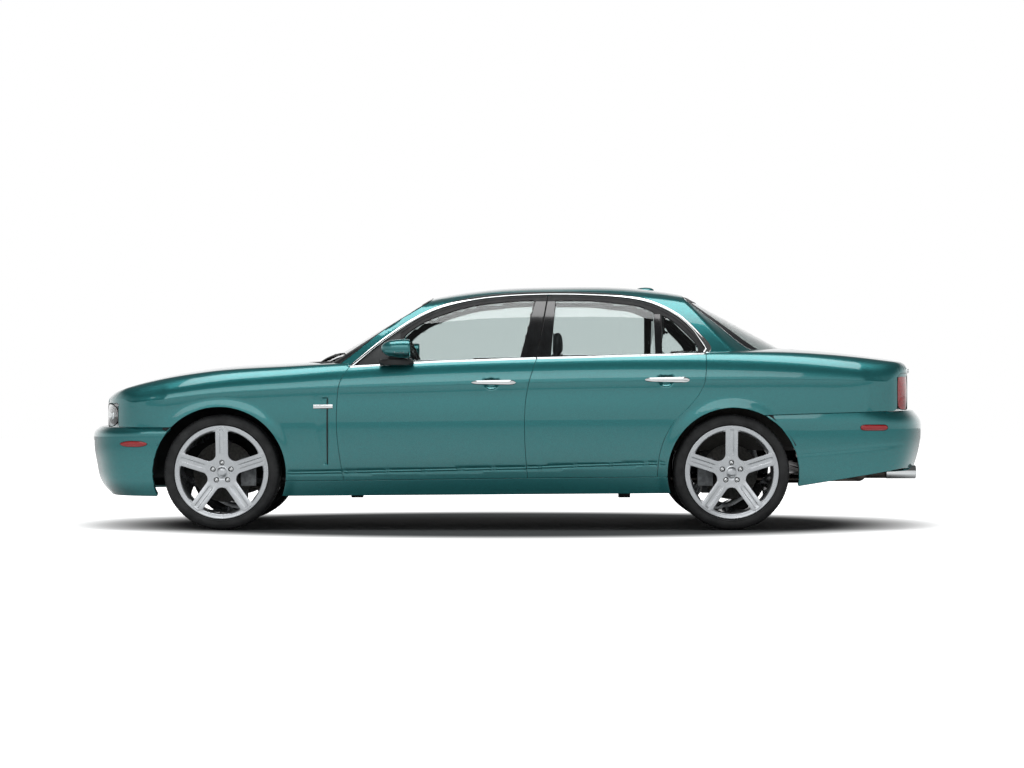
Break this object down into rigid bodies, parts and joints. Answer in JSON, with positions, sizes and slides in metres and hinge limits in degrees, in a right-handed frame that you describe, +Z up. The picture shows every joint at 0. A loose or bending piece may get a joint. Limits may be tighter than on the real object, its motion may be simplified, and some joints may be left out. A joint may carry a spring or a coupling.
{
  "type": "four-door saloon car",
  "caption": "Large four-door luxury saloon car with opening doors, bonnet and boot lid, turning road wheels and steering, hollow cabin with seats, and an engine bay and boot.",
  "frame": {"origin": "on the ground, under the middle of the car's box", "axes": "+X towards the tail, +Y towards the car's right, +Z up"},
  "size_m": [5.0843, 2.1, 1.4702],
  "materials": {
    "paint": "metallic enamel with a clear coat",
    "glass": "clear, faintly green",
    "lamp_clear": "clear moulded lens",
    "lamp_red": "red moulded lens",
    "chrome": "polished",
    "wheel_alloy": "bright painted alloy",
    "tyre": "dull black rubber",
    "disc_iron": "turned face",
    "cast_alloy": "as cast",
    "underbody": "satin dark grey",
    "exhaust_steel": "satin",
    "seat_leather": "grained",
    "trim_plastic": "soft grain"
  },
  "bodies": {
    "body": {"boot_tub": "underbody", "bulkhead": "underbody", "dashboard": "trim_plastic", "engine": "cast_alloy", "engine_bay": "underbody", "exhaust": "exhaust_steel", "floor_pan": "underbody", "front_bumper": "paint", "front_seats": "seat_leather", "front_suspension": "cast_alloy", "grille": "chrome", "headlamps": "lamp_clear", "pillars": "underbody", "quarters": "paint", "rear_bumper": "paint", "rear_seat": "seat_leather", "rear_suspension": "cast_alloy", "roof": "paint", "screens": "glass", "side_frames": "paint", "sills": "paint", "tail_lamps": "lamp_red", "wings": "paint"},
    "front_wheel_left": {"front_rim_left": "wheel_alloy", "front_tyre_left": "tyre", "front_brake_disc_left": "disc_iron"},
    "front_door_left": {"front_door_left": "paint", "front_door_glass_left": "glass", "mirror_left": "paint"},
    "front_wheel_right": {"front_rim_right": "wheel_alloy", "front_tyre_right": "tyre", "front_brake_disc_right": "disc_iron"},
    "front_door_right": {"front_door_right": "paint", "front_door_glass_right": "glass", "mirror_right": "paint"},
    "rear_wheel_left": {"rear_rim_left": "wheel_alloy", "rear_tyre_left": "tyre", "rear_brake_disc_left": "disc_iron"},
    "rear_door_left": {"rear_door_left": "paint", "rear_door_glass_left": "glass"},
    "rear_wheel_right": {"rear_rim_right": "wheel_alloy", "rear_tyre_right": "tyre", "rear_brake_disc_right": "disc_iron"},
    "rear_door_right": {"rear_door_right": "paint", "rear_door_glass_right": "glass"},
    "front_knuckle_left": {"front_knuckle_left": "cast_alloy"},
    "front_knuckle_right": {"front_knuckle_right": "cast_alloy"},
    "bonnet": {"bonnet": "paint"},
    "boot_lid": {"boot_lid": "paint"},
    "steering_wheel": {"steering_wheel": "trim_plastic"}
  },
  "joints": [
    {"name": "front_steer_left", "type": "hinge", "parent": "body", "child": "front_knuckle_left", "pos_m": [-1.7, -0.682, 0.345], "axis": [0, 0, 1], "range_deg": [-34, 34]},
    {"name": "front_wheel_spin_left", "type": "hinge", "parent": "front_knuckle_left", "child": "front_wheel_left", "pos_m": [-1.7, -0.778, 0.345], "axis": [0, 1, 0], "continuous": true},
    {"name": "rear_wheel_spin_left", "type": "hinge", "parent": "body", "child": "rear_wheel_left", "pos_m": [1.334, -0.778, 0.345], "axis": [0, 1, 0], "continuous": true},
    {"name": "front_door_hinge_left", "type": "hinge", "parent": "body", "child": "front_door_left", "pos_m": [-0.954, -0.921, 0.6], "axis": [0, 0, -1], "range_deg": [0, 66]},
    {"name": "rear_door_hinge_left", "type": "hinge", "parent": "body", "child": "rear_door_left", "pos_m": [0.167, -0.921, 0.6], "axis": [0, 0, -1], "range_deg": [0, 68]},
    {"name": "front_steer_right", "type": "hinge", "parent": "body", "child": "front_knuckle_right", "pos_m": [-1.7, 0.682, 0.345], "axis": [0, 0, 1], "range_deg": [-34, 34]},
    {"name": "front_wheel_spin_right", "type": "hinge", "parent": "front_knuckle_right", "child": "front_wheel_right", "pos_m": [-1.7, 0.778, 0.345], "axis": [0, 1, 0], "continuous": true},
    {"name": "rear_wheel_spin_right", "type": "hinge", "parent": "body", "child": "rear_wheel_right", "pos_m": [1.334, 0.778, 0.345], "axis": [0, 1, 0], "continuous": true},
    {"name": "front_door_hinge_right", "type": "hinge", "parent": "body", "child": "front_door_right", "pos_m": [-0.954, 0.921, 0.6], "axis": [0, 0, 1], "range_deg": [0, 66]},
    {"name": "rear_door_hinge_right", "type": "hinge", "parent": "body", "child": "rear_door_right", "pos_m": [0.167, 0.921, 0.6], "axis": [0, 0, 1], "range_deg": [0, 68]},
    {"name": "bonnet_hinge", "type": "hinge", "parent": "body", "child": "bonnet", "pos_m": [-1.105, 0, 1], "axis": [0, 1, 0], "range_deg": [0, 52]},
    {"name": "boot_hinge", "type": "hinge", "parent": "body", "child": "boot_lid", "pos_m": [1.756, 0, 1.095], "axis": [0, -1, 0], "range_deg": [0, 78]},
    {"name": "steering_turn", "type": "hinge", "parent": "body", "child": "steering_wheel", "pos_m": [-0.52, -0.37, 0.955], "axis": [0.9063, 0, 0.4226], "range_deg": [-510, 510]}
  ],
  "couplings": [
    {"joint": "front_steer_right", "follows": "front_steer_left", "ratio": 1},
    {"joint": "steering_turn", "follows": "front_steer_left", "ratio": 15}
  ]
}
